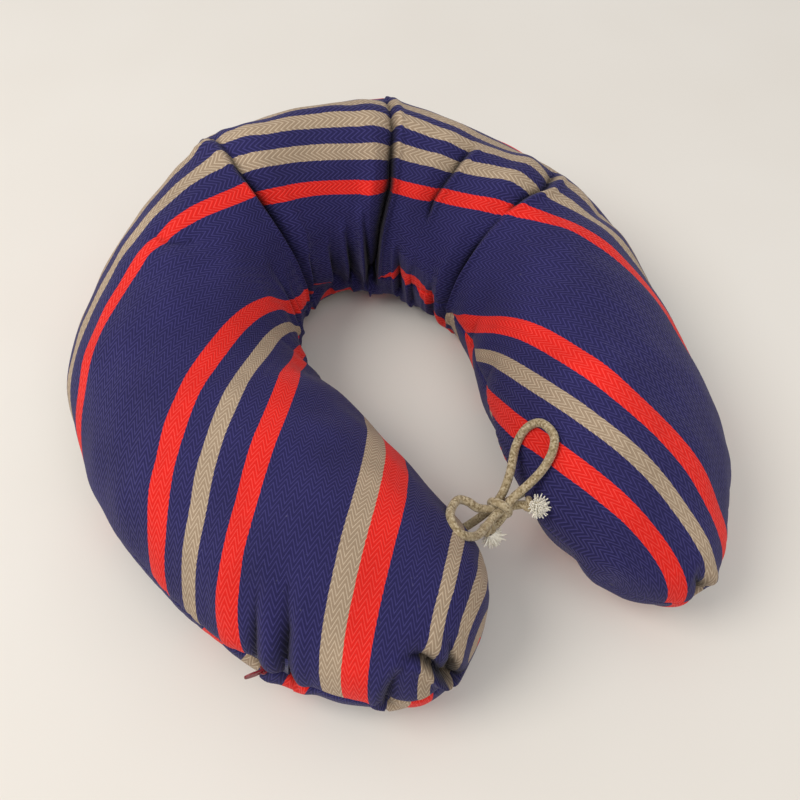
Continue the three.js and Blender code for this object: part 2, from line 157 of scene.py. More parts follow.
def resample(points, spacing):
    """A smooth curve through the points, with even steps of about the spacing."""
    points = np.asarray(points, float)
    padded = np.vstack([2 * points[0] - points[1], points, 2 * points[-1] - points[-2]])
    t = np.linspace(0, 1, 24, endpoint=False)[:, None]
    runs = []
    for i in range(len(points) - 1):
        a, b, c, d = padded[i:i + 4]
        runs.append(0.5 * (2 * b + (c - a) * t + (2 * a - 5 * b + 4 * c - d) * t ** 2
                           + (3 * b - a - 3 * c + d) * t ** 3))
    fine = np.vstack(runs + [points[-1:]])
    reach = reach_along(fine)
    steps = max(2, round(reach[-1] / spacing))
    even = np.linspace(0, reach[-1], steps + 1)
    return np.stack([np.interp(even, reach, fine[:, k]) for k in range(3)], 1)


# ---------- the pillow's shape ----------
SEAM_HEIGHT = 40.6 * MM
BACK_MIDDLE = np.array([5.6, 139.4]) * MM
ARCH_RADIUS = 114 * MM
ARCH_LENGTH = ARCH_RADIUS * math.radians(102.5)
LEFT_ARM = SimpleNamespace(side=-1, length=374 * MM, bend=545 * MM, tip_powers=(7.6, 6.5), shear=0.05,
                           outer=(54.4, 74.6, 74.6), inner=(54.4, 73.6, 70), crown=(92, 64.2, 63.5))
RIGHT_ARM = SimpleNamespace(side=1, length=394.6 * MM, bend=382 * MM, tip_powers=(6.9, 4.4), shear=0.37,
                            outer=(54.4, 61.9, 80.8), inner=(54.4, 61.9, 80.4), crown=(92, 59.8, 63.6))
CROWN, BELLY = "crown", "belly"
SECTION_POWER = {CROWN: 1.75, BELLY: 2.8}
BELLY_BULGE = 1.08
TIP_ROUNDING = 1 / 2.2
TIP_HEIGHT_POWER = 0.7
SHEAR_START = 0.45
PANEL_GAP = 0.12 * MM

ZIP_CENTRE = np.array([72.1, 20.4]) * MM
ZIP_RADIUS = 250.7 * MM
ZIP_ARC = SimpleNamespace(start=136 * MM, end=308 * MM, ease=30 * MM)
ZIP_SLIT = SimpleNamespace(start=136 * MM, end=314 * MM, ease=8 * MM, gap=1.3 * MM)


def along_arm(values, share):
    """A width or height given at the back, halfway and at the tip in millimetres, eased between them."""
    back, middle, tip = values
    first = back + (middle - back) * smooth_step(share * 2)
    second = middle + (tip - middle) * smooth_step(share * 2 - 1)
    return np.where(share < 0.5, first, second) * MM


def inside_run(run, value):
    """1 inside a run, easing to 0 past both of its ends."""
    past_start = smooth_step((value - run.start + run.ease) / run.ease)
    return past_start * smooth_step((run.end + run.ease - value) / run.ease)


def centreline(arm, distance):
    """Points, tangents and outward directions of the middle line, at distances from the back."""
    on_arch = np.minimum(distance, ARCH_LENGTH) / ARCH_RADIUS
    angle = on_arch + np.maximum(distance - ARCH_LENGTH, 0) / arm.bend
    across = ARCH_RADIUS * np.sin(on_arch) + arm.bend * (np.sin(angle) - np.sin(on_arch))
    forward = ARCH_RADIUS * (np.cos(on_arch) - 1) + arm.bend * (np.cos(angle) - np.cos(on_arch))
    point = BACK_MIDDLE + np.stack([arm.side * across, forward], -1)
    tangent = np.stack([arm.side * np.cos(angle), -np.sin(angle)], -1)
    outward = np.stack([arm.side * np.sin(angle), np.cos(angle)], -1)
    return point, tangent, outward


def arm_points(arm, share, face, angle, room):
    """Points on one face of one arm, a grid of shares of its length by angles, as far in as room says."""
    distance = share * (arm.length - room.end)
    point, tangent, outward = centreline(arm, distance)
    outer_tip, inner_tip = (np.maximum(1 - share ** p, 0) ** TIP_ROUNDING for p in arm.tip_powers)
    shear = arm.shear * smooth_step((share - SHEAR_START) / (1 - SHEAR_START))
    direction = outward + tangent * shear[:, None]
    outer = (along_arm(arm.outer, share) - room.outer) * outer_tip
    inner = (along_arm(arm.inner, share) - room.inner) * inner_tip
    gap = np.full_like(share, PANEL_GAP)
    if arm is LEFT_ARM:
        offset = point - ZIP_CENTRE
        along = (offset * direction).sum(-1)
        square = (direction ** 2).sum(-1)
        rest = (offset ** 2).sum(-1) - ZIP_RADIUS ** 2
        to_arc = (np.sqrt(np.maximum(along ** 2 - square * rest, 0)) - along) / square - room.outer
        outer += (to_arc - outer) * inside_run(ZIP_ARC, distance)
        gap += (ZIP_SLIT.gap - gap) * inside_run(ZIP_SLIT, distance)
    power = 2 / SECTION_POWER[face]
    across = np.sign(np.cos(angle)) * np.abs(np.cos(angle)) ** power
    up = np.abs(np.sin(angle)) ** power
    tip_height = np.sqrt(outer_tip * inner_tip) ** TIP_HEIGHT_POWER
    reach = np.where(across[None] > 0, outer[:, None], inner[:, None]) * across[None]
    plan = point[:, None] + direction[:, None] * reach[..., None]
    if face == CROWN:
        height = ((along_arm(arm.crown, share) - room.height) * tip_height)[:, None] * up
    else:
        belly = (SEAM_HEIGHT - room.height) * tip_height
        height = -np.minimum(belly[:, None] * BELLY_BULGE * up, belly[:, None])
    seam_gap = (0.5 if face == CROWN else -0.5) * gap[:, None] * (1 - up)
    return np.concatenate([plan, (SEAM_HEIGHT + seam_gap + height)[..., None]], -1), distance


def share_of_arm(stations):
    """How far out on its arm each station lies, from 0 to 1, in shorter steps towards the tips."""
    even = np.abs(stations)
    return even * (1.5 - 0.5 * even ** 2)


def face_points(stations, face, angle, room):
    """Points over both arms, and their distances from the back, which are below 0 on the left.

    Stations run from -1 at the left tip over 0 at the back to 1 at the right tip.
    """
    parts = []
    for arm, chosen in ((LEFT_ARM, stations < 0), (RIGHT_ARM, stations >= 0)):
        points, distance = arm_points(arm, share_of_arm(stations[chosen]), face, angle, room)
        parts.append((points, arm.side * distance))
    return np.concatenate([p[0] for p in parts]), np.concatenate([p[1] for p in parts])


def room(outer, inner, end, height):
    """How far in from the cover a layer lies at its seams, its tips and its top, given in millimetres."""
    return SimpleNamespace(outer=outer * MM, inner=inner * MM, end=end * MM, height=height * MM)


# ---------- how the striped cloth lies on the pillow ----------
# The stripes run straight on the flat cloth. Each half of the panel is followed from the middle of the back,
# where the cloth is turned a little from the pillow's own axis. Its direction then turns at rates, in radians
# per millimetre of the pillow's length, that ease from one to the next, and each fold takes up a wedge of
# cloth: wedges are (distance from the back, angle, length of the pillow that it is spread over).
# This section is in millimetres but for what cloth_place gives.
CLOTH_TURN = -0.205
LIE_STEP, LIE_REACH = 0.25, 440
FIRST_EASE, SECOND_EASE = 50, 60  # how long each change of rate takes
WEDGE_TIP = 71.5  # outward of the middle line
LEFT_LIE = SimpleNamespace(side=-1, rates=(0.00552, 0.00177, 0.00243), first_change=194, second_change=270,
                           spread=1.023, curve=-0.00211, wedges=((97, -0.067, 24), (32, -0.215, 1.6)))
RIGHT_LIE = SimpleNamespace(side=1, rates=(0.00552, -0.00388, 0.00467), first_change=215, second_change=270,
                            spread=0.743, curve=-0.00098,
                            wedges=((70, -0.227, 1.6), (113, -0.052, 2), (165, -0.016, 2)))
BACK_SPREAD, BACK_CURVE = 0.67, -0.00154  # cloth per millimetre across, and how that changes outward
BACK_END, BACK_EASE = 50, 120  # where the back's spread starts to give way to the arms', and over what length


def lie_tables(lie):
    """Cloth direction, and its place along and across the stripes, at small steps from the back."""
    step = np.arange(0, LIE_REACH, LIE_STEP)
    back, near, far = lie.rates
    rate = back + (near - back) * smooth_step((step - lie.first_change) / FIRST_EASE + 0.5)
    rate += (far - near) * smooth_step((step - lie.second_change) / SECOND_EASE + 0.5)
    turn = lie.side * CLOTH_TURN + running_sum((rate[1:] + rate[:-1]) / 2) * LIE_STEP
    jump = np.zeros_like(step)
    for place, wedge, ease in lie.wedges:
        at = np.interp(place, step, turn)
        past = smooth_step((step - place) / ease + 0.5)
        jump += past * WEDGE_TIP * (math.cos(at) - math.cos(at + wedge))
        turn += past * wedge
    middle = (turn[1:] + turn[:-1]) / 2
    across = jump - running_sum(np.sin(middle)) * LIE_STEP
    along = running_sum(np.cos(middle)) * LIE_STEP
    return step, turn, across, along


LIE_TABLES = {lie.side: lie_tables(lie) for lie in (LEFT_LIE, RIGHT_LIE)}
INNER_GATHER, INNER_GATHER_AT, INNER_GATHER_WIDTH = 19, 105, 33  # cloth drawn in, and where along
INNER_GATHER_START, INNER_GATHER_EASE = 82, 14  # inward of the middle line
LEAN_WIDTH = 25  # how far from a fold the cloth leans with it
BOTTOM_EDGE = -240  # past this line across the stripes the bottom panel has none
BOTTOM_TURN, BOTTOM_SHIFT = math.radians(-9.8), -15.8  # the bottom panel was cut askew to the top one


def cloth_place(along, across, face):
    """Where points of the pillow lie on the flat cloth: across the stripes, along them, and on which."""
    s, w = np.broadcast_arrays(along[:, None] / MM, across / MM)
    leaning = s.copy()
    for place, line in WEDGE_LINES:
        line_along, line_across = np.array(line[::-1], float).T
        shift = np.interp(w, line_across, line_along) - place
        leaning -= shift * bell(s, place, LEAN_WIDTH)
    over, by = np.zeros_like(w), np.zeros_like(w)
    reach = np.abs(leaning)
    away = smooth_step((reach - BACK_END) / BACK_EASE)
    for lie in (LEFT_LIE, RIGHT_LIE):
        chosen = (leaning < 0) if lie.side < 0 else (leaning >= 0)
        step, turn_at, across_at, along_at = LIE_TABLES[lie.side]
        turn = np.interp(reach, step, turn_at)
        spread = BACK_SPREAD + (lie.spread - BACK_SPREAD) * away
        curve = BACK_CURVE + (lie.curve - BACK_CURVE) * away
        out = spread * w + curve * w * w
        over = np.where(chosen, np.interp(reach, step, across_at) + out * np.cos(turn), over)
        by = np.where(chosen, lie.side * (np.interp(reach, step, along_at) + out * np.sin(turn)), by)
    if face == CROWN:
        near_seam = smooth_step((-w - INNER_GATHER_START) / INNER_GATHER_EASE)
        over -= INNER_GATHER * bell(s, INNER_GATHER_AT, INNER_GATHER_WIDTH) * near_seam
    stripe = over
    if face == BELLY:
        c, t = math.cos(BOTTOM_TURN), math.sin(BOTTOM_TURN)
        over, by = over * c + by * t + BOTTOM_SHIFT, by * c - over * t
        stripe = np.maximum(over, BOTTOM_EDGE)
    return np.stack([over, by, stripe], -1) * MM


# ---------- folds, gathers and puckers ----------
# This section is in millimetres but for what relief gives. A fold is a line over the cover given by points
# (along, across): along is the distance from the middle of the back, to the left below 0, and across is from
# the crown's middle line, outward above 0. It deepens from its first point to its last unless it is even, and
# its width may differ on its left and on its right.
def fold(points, depth, width, even=False, lip=0.35):
    widths = width if isinstance(width, tuple) else (width, width)
    return SimpleNamespace(points=np.array(points, float), depth=depth, widths=widths, even=even, lip=lip)


LEFT_CREASE = [(-30, 18), (-37, -12), (-37, -50), (-33, -118)]
MIDDLE_CREASE = [(66, 26), (73, -8), (73, -42), (62, -76), (53, -118)]
SHORT_CREASE = [(122, 12), (118, -18), (111, -40), (110, -60)]
RIGHT_CREASE = [(153, 48), (166, 14), (165, -24), (163, -48), (164, -70), (168, -104)]
FOLDS = [
    fold(LEFT_CREASE, 10.0, (1.4, 4.5), lip=0.25),
    fold(MIDDLE_CREASE, 13.0, (4.2, 1.3), lip=0.25),
    fold(SHORT_CREASE, 5.6, (4.0, 1.3), even=True),
    fold(RIGHT_CREASE[:3], 6.4, (4.2, 1.4), even=True),
    fold(RIGHT_CREASE[2:], 9.0, (5.0, 1.8)),
    fold([(-91, 18), (-98, 4), (-96, -7), (-86, -14)], 2.4, 3.2, even=True),
    fold([(-30, 30), (-30, 14)], 3.6, 2.4, even=True),
    fold([(178, 60), (186, 44)], 1.6, 4.0, even=True),
    fold([(-280, 52), (-286, 74), (-290, 98)], 5.6, (4.5, 2.4)),
    fold([(-291, 42), (-299, 62), (-305, 96)], 6.4, (4.0, 2.2)),
    fold([(-349, 38), (-355, 33), (-361, 32), (-368, 36)], 7.5, (1.4, 3.2)),
    fold([(-364, 18), (-368, 24), (-371, 34)], 7.5, 2.0),
    fold([(-351, 41), (-349, 50), (-348, 80)], 4.6, (1.4, 3.4)),
    fold([(377, 50), (376, 76)], 7.5, 2.0),
    fold([(-70, -64), (-75, -112)], 4.0, (3.0, 5.0)),
    fold([(214, -60), (222, -94)], 2.0, 6.0),
    fold([(262, -64), (268, -94)], 1.6, 6.0),
    fold([(-150, -70), (-158, -108)], 2.2, 7.0),
]
WEDGE_LINES = ((-32, LEFT_CREASE), (70, MIDDLE_CREASE), (113, SHORT_CREASE), (165, RIGHT_CREASE))
# Gathers run up from the inner seam: distance along, how far up, and depth.
GATHERS = ((-62, 26, 3.6), (-20, 30, 8.0), (8, 26, 7.6), (28, 34, 9.4), (47, 44, 10.0), (84, 30, 5.6),
           (104, 22, 4.0), (134, 20, 3.6), (-84, 20, 3.0))
GATHER_FOOT, PAST_SEAM = -112, -120  # across, near the inner seam and past it
for place, reach, depth in GATHERS:
    FOLDS.append(fold([(place, reach + GATHER_FOOT), (place, PAST_SEAM)], depth, (1.6, 5.0), lip=0.45))
PEAKS = ((-31, 26, 6.4), (66, 32, 4.2), (160, 40, 1.6))  # corners where the back bends: along, across, rise
PEAK_LENGTH, PEAK_WIDTH = 13, 30  # how far they reach along and across

FOLD_START, FOLD_FULL = 0.35, 0.6  # a deepening fold's first depth, and the share of it where it is full
FOLD_FADE = 0.25  # the share of an even fold that fades at each end
LIP_PLACE, LIP_WIDTH = 3.4, 1.6  # of the lip beside a fold, in the fold's widths
DEEP_FOLD = 9.0  # this deep or deeper, a fold closes, and the shade painted in it is at full strength
CREVICE = 1.7  # how far from a fold's bottom it is too narrow for light
CREVICE_START, CREVICE_GROWTH = 0.5, 1.3  # shares of it where a fold starts, and gained as it deepens


def fold_depth(line, s, w):
    """How far a fold sinks the cloth, with a low lip on both sides, and how closed it is there, which sets
    the shade painted into the cloth.
    """
    points = line.points
    starts = reach_along(points)
    nearest = np.full(s.shape, 1e9)
    share = np.zeros(s.shape)
    on_right = np.zeros(s.shape, bool)
    for k, length in enumerate(np.diff(starts)):
        run_s, run_w = points[k + 1] - points[k]
        from_s, from_w = s - points[k, 0], w - points[k, 1]
        t = np.clip((from_s * run_s + from_w * run_w) / length ** 2, 0, 1)
        away = np.hypot(from_s - t * run_s, from_w - t * run_w)
        closer = away < nearest
        nearest = np.where(closer, away, nearest)
        on_right = np.where(closer, run_s * from_w > run_w * from_s, on_right)
        share = np.where(closer, (starts[k] + t * length) / starts[-1], share)
    if line.even:
        grow = smooth_step(share / FOLD_FADE) * smooth_step((1 - share) / FOLD_FADE)
    else:
        grow = FOLD_START + (1 - FOLD_START) * smooth_step(share / FOLD_FULL)
    width = np.where(on_right, line.widths[1], line.widths[0])
    groove = np.exp(-nearest / width)
    lip = line.lip * bell(nearest, LIP_PLACE * width, LIP_WIDTH * width)
    gap = CREVICE * (1 if line.even else CREVICE_START + CREVICE_GROWTH * grow)
    # how closed the fold is here: the strength of the shade painted into the cloth's colour
    closed = min(line.depth / DEEP_FOLD, 1) * grow * np.exp(-nearest / gap)
    return line.depth * grow * (groove - lip), closed


def waves(points, count, shortest, longest, seed):
    """Soft lumps over space: a sum of sine waves in random directions, from -1 to 1 or so."""
    pick = np.random.default_rng(seed)
    total = np.zeros(points.shape[:-1])
    for _ in range(count):
        direction = unit(pick.normal(size=3))
        length = pick.uniform(shortest, longest)
        total += np.sin(points @ direction * (2 * math.pi / length) + pick.uniform(0, 2 * math.pi))
    return total / math.sqrt(count)


def ripple(s, spacing, seed):
    """Uneven ripples along the pillow, sharp in their valleys: 0 between them and -1 at the bottom of one."""
    pick = np.random.default_rng(seed)
    wander = sum(pick.uniform(0.3, 0.7) * np.sin(s / pick.uniform(17, 43) + pick.uniform(0, 6))
                 for _ in range(4))
    strength = 0.5 + 0.5 * np.sin(s / pick.uniform(23, 37) + pick.uniform(0, 6))
    return -strength * (1 - np.abs(np.sin(s * math.pi / spacing + wander))) ** 2


# A reach is the distance from a seam over which something dies away.
SOFT_LUMPS = ((1.1, 7, 45, 110, 3), (0.35, 6, 18, 36, 4))  # height, count, shortest, longest, seed
GATHERED_MIDDLE, GATHERED_WIDTH = 12, 62  # the stretch of the back where the gathers pull
DRAWN_IN, DRAWN_IN_REACH = 7.0, 32  # the gathers draw in the inner wall there
BELLY_TUCK, BELLY_TUCK_AT = 9.0, 16.0  # the belly falls away under it, most at this distance from the seam
TIP_TUCK, TIP_TUCK_AT = 3.2, 15.0  # the belly falls away at the right arm's end in the same way
TIP_TUCK_START, TIP_TUCK_EASE = 262, 50
RIPPLE, RIPPLE_SPACING, RIPPLE_REACH = 1.2, 19, 34  # on the inner wall, except near the tips
RIPPLE_END, RIPPLE_EASE = 230, 90
PUCKER, PUCKER_SPACING, PUCKER_REACH = 0.8, 8.5, 9.0
SEAM_DIP, SEAM_DIP_WIDTH = 1.5, 1.7


def tucked(distance, most_at):
    """0 at a seam, 1 at the given distance from it, and dying away beyond."""
    return distance / most_at * np.exp(1 - distance / most_at)


def relief(face, points, s, w, from_outer, from_inner, tip_fade):
    """How far the cover stands proud of the plain shape, in metres, and how closed its folds are, for the
    shade painted there.
    """
    rise = sum(height * waves(points, count, shortest * MM, longest * MM, seed)
               for height, count, shortest, longest, seed in SOFT_LUMPS)
    crevice = np.zeros_like(rise)
    for line in FOLDS:
        # closed says how strongly shade is painted into the cloth at this fold
        depth, closed = fold_depth(line, s, w)
        rise -= depth
        crevice = np.maximum(crevice, closed)
    for place, across, peak in PEAKS:
        rise += peak * np.exp(-np.abs(s - place) / PEAK_LENGTH) * bell(w, across, PEAK_WIDTH)
    off_tips = smooth_step((RIPPLE_END - np.abs(s)) / RIPPLE_EASE)
    rise += RIPPLE * off_tips * ripple(s, RIPPLE_SPACING, 5) * np.exp(-from_inner / RIPPLE_REACH)
    at_back = bell(s, GATHERED_MIDDLE, GATHERED_WIDTH)
    rise -= DRAWN_IN * at_back * np.exp(-from_inner / DRAWN_IN_REACH)
    if face == BELLY:
        rise -= BELLY_TUCK * at_back * tucked(from_inner, BELLY_TUCK_AT)
        near_tip = smooth_step((s - TIP_TUCK_START) / TIP_TUCK_EASE)
        rise -= TIP_TUCK * near_tip * tucked(np.minimum(from_outer, from_inner), TIP_TUCK_AT)
    for from_seam, seed in ((from_outer, 6), (from_inner, 7)):
        rise += PUCKER * ripple(s, PUCKER_SPACING, seed) * np.exp(-from_seam / PUCKER_REACH)
        rise -= SEAM_DIP * np.exp(-(from_seam / SEAM_DIP_WIDTH))
    return rise * tip_fade * MM, crevice


STATIONS, FACETS = 680, 92
SEAM_CROWDING = 0.72
FOLD_CROWDING, CROWDING_WIDTH = 2.4, 14
CROWDED_PLACES = (-35, 66, 115, 164, -95)


def cover_stations():
    """Station values that crowd towards the folds."""
    fine = np.linspace(-1, 1, 6001)
    lengths = np.where(fine < 0, LEFT_ARM.length, RIGHT_ARM.length)
    along = np.sign(fine) * share_of_arm(fine) * lengths / MM
    weight = np.ones_like(fine)
    for place in CROWDED_PLACES:
        weight += FOLD_CROWDING * bell(along, place, CROWDING_WIDTH)
    reach = running_sum((weight[1:] + weight[:-1]) / 2)
    stations = np.interp(np.linspace(0, reach[-1], STATIONS + 1), reach, fine)
    stations[0], stations[-1] = -1, 1
    return stations


def face_angles():
    """Angles over one face, closer together near both of its seams."""
    even = np.linspace(0, 1, FACETS + 1)
    return math.pi * (even - SEAM_CROWDING * np.sin(2 * math.pi * even) / (2 * math.pi))


def surface_normals(points, outward_up):
    """Unit normals over a grid, facing up or down. Each tip's row takes the mean of a row near it."""
    normal = unit(np.cross(np.gradient(points, axis=0), np.gradient(points, axis=1)))
    middle = points.shape[1] // 2
    if (normal[len(points) // 2, middle, 2] > 0) != outward_up:
        normal = -normal
    for end, inside in ((0, 2), (-1, -3)):
        normal[end] = unit(normal[inside].mean(0))
    return normal


TIP_FADE = 6 * MM
PLAIN = room(0, 0, 0, 0)


def measured_face(face, stations, angles):
    """The plain face: its points and normals, distances along the pillow, and distances from both seams."""
    points, along = face_points(stations, face, angles, PLAIN)
    steps = np.linalg.norm(np.diff(points, axis=1), axis=2)
    reach = np.concatenate([np.zeros((len(points), 1)), np.cumsum(steps, 1)], 1)
    from_outer, from_inner = reach, reach[:, -1:] - reach
    return points, surface_normals(points, face == CROWN), along, from_outer, from_inner


def crown_reach(crown_points, along):
    """Distance over the crown's middle line from the back, which keeps growing down the tips."""
    reach = reach_along(crown_points[:, crown_points.shape[1] // 2])
    return reach - np.interp(0, along, reach)


def cover_faces():
    """Both faces of the cover as grids: points, normals, how far each stands proud, cloth place, painted fold
    shade.
    """
    stations, angles = cover_stations(), face_angles()
    crown = measured_face(CROWN, stations, angles)
    belly = measured_face(BELLY, stations, angles)
    along = crown[2]
    over_crown = crown_reach(crown[0], along)
    half = crown[3][:, FACETS // 2]
    inner_half = crown[4][:, FACETS // 2]
    ends = np.minimum(along - along[0], along[-1] - along)
    tip_fade = smooth_step(ends / TIP_FADE)[:, None]
    faces = {}
    for face, (points, normals, _, from_outer, from_inner) in ((CROWN, crown), (BELLY, belly)):
        if face == CROWN:
            across = half[:, None] - from_outer
        else:
            outside = half[:, None] + from_outer
            inside = -inner_half[:, None] - from_inner
            across = np.where(from_outer < from_inner, outside, inside)
        s = np.broadcast_to(along[:, None], across.shape) / MM
        rise, crevice = relief(face, points, s, across / MM, from_outer / MM, from_inner / MM, tip_fade)
        place = cloth_place(over_crown, across if face == CROWN else half[:, None] - from_outer, face)
        faces[face] = (points, normals, rise, place, crevice)
    return faces


COVER_THICKNESS = 1.2 * MM


def tidy_mesh(points, faces):
    """The points that faces use, the faces with their new numbers, and which points were kept."""
    flat = np.concatenate([np.asarray(f) for f in faces])
    used, renumbered = np.unique(flat, return_inverse=True)
    ends = np.cumsum([len(f) for f in faces])
    numbers = renumbered.tolist()
    return points[used], [numbers[a:b] for a, b in zip([0, *ends[:-1]], ends)], used


def sheet_body(outside, inside, is_crown):
    """A closed sheet between two grids that share their seams' and tips' ends."""
    rows, columns = outside.shape[:2]
    index = np.arange(rows * columns).reshape(rows, columns)
    index[0], index[-1] = index[0, 0], index[-1, 0]
    inner = index + rows * columns
    faces = grid_faces(index, flip=not is_crown) + grid_faces(inner, flip=is_crown)
    for column, way in ((0, is_crown), (columns - 1, not is_crown)):
        faces += grid_faces(np.stack([index[:, column], inner[:, column]], 1), flip=way)
    return tidy_mesh(np.concatenate([outside.reshape(-1, 3), inside.reshape(-1, 3)]), faces)


def cover_panel(name, face, shape):
    """One panel of the cover with its real thickness, its folds and its place on the flat cloth."""
    points, normals, rise, place, crevice = shape
    outside = points + normals * rise[..., None]
    outside[..., 2] = np.maximum(outside[..., 2], 0)
    inside = outside - normals * COVER_THICKNESS
    body, faces, used = sheet_body(outside, inside, face == CROWN)
    weave = np.concatenate([place.reshape(-1, 3)] * 2)[used]
    # the painted shade of the closed folds, for the cloth's material
    shade = np.repeat(np.concatenate([crevice.ravel()] * 2)[used], 3)
    piece = make_mesh(f"{name}_cloth", body, faces, "cover_cloth", [name], weave=weave, crevice=shade)


CASING_ROOM = room(9.4, 4.6, 9, 2.8)
CASING_LINING = room(10.2, 5.4, 9.8, 3.6)
FILLING_ROOM = room(10.7, 5.9, 10.3, 4.1)
INSIDE_STRIDE = (4, 2)  # the inside is made on every fourth station and every second angle of the cover
INSIDE_GIVES_WAY = 1.15  # how far it sinks where the cover sinks by 1
LUMP_DEPTH = 0.5 * MM


def lowest_nearby(grid, reach):
    """The smallest value within some stations and angles of each one."""
    lowest = grid.copy()
    for axis, most in enumerate(reach):
        start = lowest.copy()
        for step in range(-most, most + 1):
            lowest = np.minimum(lowest, np.roll(start, step, axis))
    return lowest


def inside_grid(face, shape, depth):
    """A layer under the cover: it gives way where the cover folds inwards."""
    stations, angles = cover_stations()[::INSIDE_STRIDE[0]], face_angles()[::INSIDE_STRIDE[1]]
    grid, _ = face_points(stations, face, angles, depth)
    sunk = lowest_nearby(np.minimum(shape[2], 0), INSIDE_STRIDE)[::INSIDE_STRIDE[0], ::INSIDE_STRIDE[1]]
    grid += surface_normals(grid, face == CROWN) * (INSIDE_GIVES_WAY * sunk)[..., None]
    grid[0], grid[-1] = grid[0, 0], grid[-1, 0]
    return grid


def inside_pieces(shapes):
    """The white cotton casing in two panels, and the fibre filling in it."""
    for place, face in (("top", CROWN), ("bottom", BELLY)):
        outer, lining = (inside_grid(face, shapes[face], depth) for depth in (CASING_ROOM, CASING_LINING))
        body, faces, _ = sheet_body(outer, lining, face == CROWN)
        piece = make_mesh(f"casing_{place}_cotton", body, faces, "casing_cloth", [f"casing_{place}_panel"])
    crown, belly = (inside_grid(face, shapes[face], FILLING_ROOM) for face in (CROWN, BELLY))
    lumps = LUMP_DEPTH * waves(crown, 8, 9 * MM, 22 * MM, 9)
    crown -= surface_normals(crown, True) * np.abs(lumps)[..., None]
    body, faces, _ = sheet_body(crown, belly, True)
    piece = make_mesh("fibre_filling", body, faces, "fibre_filling", ["filling"])


THREAD_ROOM = room(3.2, 2.6, 3.4, 0)
THREAD_RADIUS = 0.32 * MM
STITCH_LENGTH = 2.8 * MM
STITCH_SWING = 0.35 * MM
THREAD_STOP = 4 * MM  # how far from the zip's opening the thread ends


def seam_thread(shape):
    """The lockstitch that joins the two panels, just inside the seam, all round but for the zip's opening."""
    stations = np.linspace(-1, 1, 801)
    points, along = face_points(stations, CROWN, np.array([0.0, math.pi]), THREAD_ROOM)
    moved = shape[1] * shape[2][..., None]
    for side, column in ((0, 0), (1, -1)):
        for axis in (0, 1):
            points[:, side, axis] += np.interp(stations, cover_stations(), moved[:, column, axis])
    outer, inner = points[:, 0], points[:, 1]
    before_zip = along > -(ZIP_SLIT.start - THREAD_STOP)
    past_zip = along < -(ZIP_SLIT.end + THREAD_STOP)
    line = np.vstack([outer[before_zip], inner[::-1], outer[1:][past_zip[1:]]])
    line[:, 2] = SEAM_HEIGHT
    even = resample(line, STITCH_LENGTH / 4)
    even[:, 2] += STITCH_SWING * np.sin(np.arange(len(even)) * math.pi / 2)
    rings = tube_points(even, THREAD_RADIUS, 6)
    make_mesh("lockstitch_thread", rings, tube_faces(len(rings), 6), "sewing_thread", ["cover_seam_thread"])


# ---------- the zip ----------
ZIP_CLOSED, ZIP_OPEN = 211.9, 169.0  # degrees about the zip's centre
# Sections are (height over the seam, distance out of it) in millimetres.
TAPE_SECTION = [(0.75, -5.0), (0.75, -1.7), (7, -3.6), (11.5, -5.2),
                (11.5, -5.8), (7, -4.2), (1.25, -2.35), (1.25, -5.0)]
TAPE_OVERRUN, COIL_OVERRUN = 2.7, 1.3  # degrees past the zip's two ends
TAPE_STEPS, COIL_STEPS = 140, 12  # along the tape, and in one turn of the coil
COIL_MIDDLE = (1.65, -6.05)
COIL_RADII = (0.72, 0.62)
COIL_PITCH = 1.35 * MM
COIL_WIRE = 0.22 * MM


def on_zip(degrees, up, out):
    """Points by angle along the zip, height over the seam and distance out of it, both in millimetres."""
    angle = np.radians(degrees)
    radius = ZIP_RADIUS + np.asarray(out) * MM
    height = SEAM_HEIGHT + np.asarray(up) * MM
    x = ZIP_CENTRE[0] + radius * np.cos(angle)
    y = ZIP_CENTRE[1] + radius * np.sin(angle)
    return np.stack(np.broadcast_arrays(x, y, height), -1)


def zip_pieces():
    """The two tapes and the coil wound along the edge of each one."""
    for place, sign in (("upper", 1), ("lower", -1)):
        degrees = np.linspace(ZIP_CLOSED + TAPE_OVERRUN, ZIP_OPEN - TAPE_OVERRUN, TAPE_STEPS)[:, None]
        up, out = (np.array(values)[None] for values in zip(*TAPE_SECTION))
        rings = on_zip(degrees, up * sign, out)
        faces = tube_faces(len(rings), rings.shape[1])
        if sign < 0:
            faces = [face[::-1] for face in faces]
        make_mesh(f"zip_tape_woven_{place}", rings, faces, "zip_tape", [f"zip_tape_{place}"])
        first, last = ZIP_CLOSED + COIL_OVERRUN, ZIP_OPEN - COIL_OVERRUN
        turns = int(math.radians(first - last) * ZIP_RADIUS / COIL_PITCH)
        t = np.linspace(0, 1, turns * COIL_STEPS + 1)
        spin = 2 * math.pi * turns * t
        path = on_zip(first + (last - first) * t, sign * (COIL_MIDDLE[0] + COIL_RADII[0] * np.cos(spin)),
                      COIL_MIDDLE[1] + COIL_RADII[1] * np.sin(spin))
        rings = tube_points(path, COIL_WIRE, 6)
        faces = tube_faces(len(rings), 6)
        make_mesh(f"zip_coil_wound_{place}", rings, faces, "zip_coil", [f"zip_coil_{place}"])


def finish_cad_node(name, slot, bevel):
    """A CAD piece that keeps its shape: its edges are softened and it gets its real finish."""
    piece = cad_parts[name]
    piece.data.materials.clear()
    piece.data.materials.append(MATERIALS[slot])
    softened = piece.modifiers.new("soft_edges", "BEVEL")
    softened.width = bevel
    softened.segments = 3
    softened.limit_method = "ANGLE"
    softened.angle_limit = math.radians(35)


